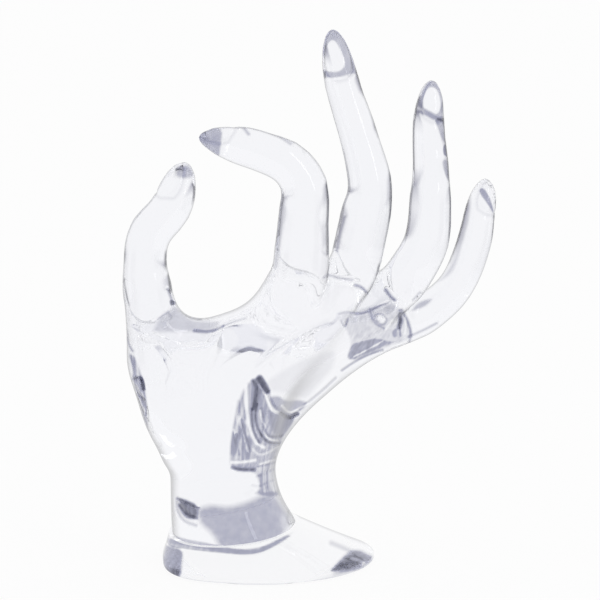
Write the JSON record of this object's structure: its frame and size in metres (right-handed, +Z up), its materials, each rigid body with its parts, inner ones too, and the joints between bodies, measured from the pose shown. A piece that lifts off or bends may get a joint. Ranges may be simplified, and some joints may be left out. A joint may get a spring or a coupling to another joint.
{
  "type": "hand jewelry stand",
  "caption": "Clear cast hand on a flared oval foot, its thumb and index finger curled into an open ring and the other fingers raised, for holding rings, bracelets and necklaces.",
  "frame": {"origin": "on the foot's flat underside, under the middle of the foot", "axes": "+Z up, +X towards the foot's toe and the little finger, -Y towards the thumb and index finger"},
  "size_m": [0.1124, 0.058, 0.1635],
  "materials": {
    "clear_hand": "polished clear cast resin with a faint violet cast",
    "clear_foot": "polished clear cast resin with a faint violet cast"
  },
  "bodies": {
    "root": {"foot": "clear_foot", "wrist": "clear_hand", "palm": "clear_hand", "thumb": "clear_hand", "index_finger": "clear_hand", "middle_finger": "clear_hand", "ring_finger": "clear_hand", "little_finger": "clear_hand", "thumb_nail": "clear_hand", "index_nail": "clear_hand", "middle_nail": "clear_hand", "ring_nail": "clear_hand", "little_nail": "clear_hand"}
  },
  "joints": []
}
